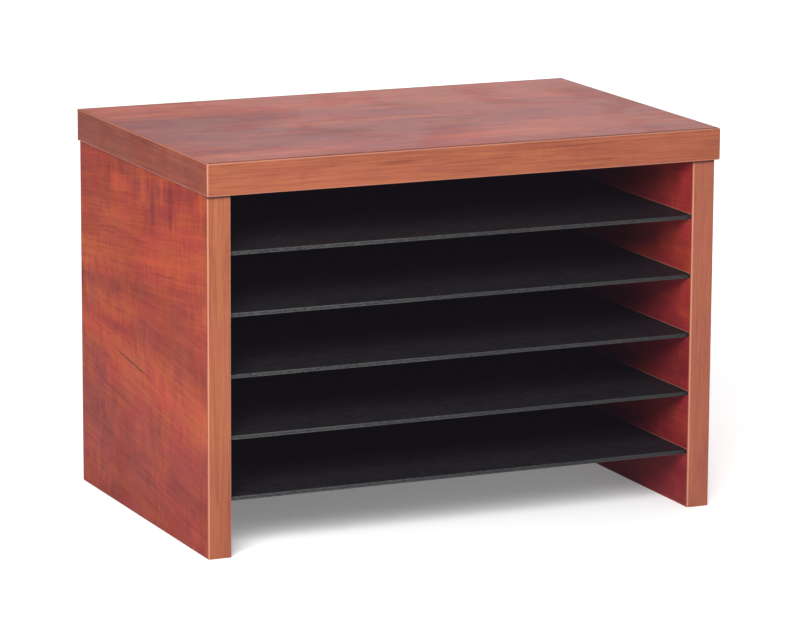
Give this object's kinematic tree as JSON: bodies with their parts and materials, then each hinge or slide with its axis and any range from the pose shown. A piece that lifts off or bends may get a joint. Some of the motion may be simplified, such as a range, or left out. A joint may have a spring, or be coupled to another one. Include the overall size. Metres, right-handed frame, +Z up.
{
  "type": "desktop file sorter",
  "caption": "Desktop file sorter: an open-fronted case in cherry-look laminate with thin black shelves that hold paper flat, and a thick overhanging top.",
  "frame": {"origin": "centre of the footprint, at desk level", "axes": "+X to the user's right along the width, +Y to the back, +Z up; the open front faces -Y"},
  "size_m": [0.4318, 0.2794, 0.3048],
  "materials": {
    "cherry_laminate": "satin printed melamine, reddish cherry",
    "edge_band": "satin printed PVC, lighter orange cherry with a fine straight grain",
    "particle_board": "raw",
    "black_hardboard": "matte black coating, grey fibre at cut edges",
    "beech_dowel": "raw beech",
    "pin_steel": "bright zinc"
  },
  "bodies": {
    "root": {"back_panel": "black_hardboard", "back_panel_pins": "pin_steel", "left_dowels": "beech_dowel", "left_side_back_edge_band": "edge_band", "left_side_bottom_edge_band": "edge_band", "left_side_core": "particle_board", "left_side_front_edge_band": "edge_band", "left_side_inner_laminate": "cherry_laminate", "left_side_outer_laminate": "cherry_laminate", "right_dowels": "beech_dowel", "right_side_back_edge_band": "edge_band", "right_side_bottom_edge_band": "edge_band", "right_side_core": "particle_board", "right_side_front_edge_band": "edge_band", "right_side_inner_laminate": "cherry_laminate", "right_side_outer_laminate": "cherry_laminate", "shelf_1": "black_hardboard", "shelf_2": "black_hardboard", "shelf_3": "black_hardboard", "shelf_4": "black_hardboard", "shelf_5": "black_hardboard", "top_back_edge_band": "edge_band", "top_core": "particle_board", "top_front_edge_band": "edge_band", "top_laminate": "cherry_laminate", "top_left_edge_band": "edge_band", "top_right_edge_band": "edge_band", "top_underside_laminate": "cherry_laminate"}
  },
  "joints": []
}
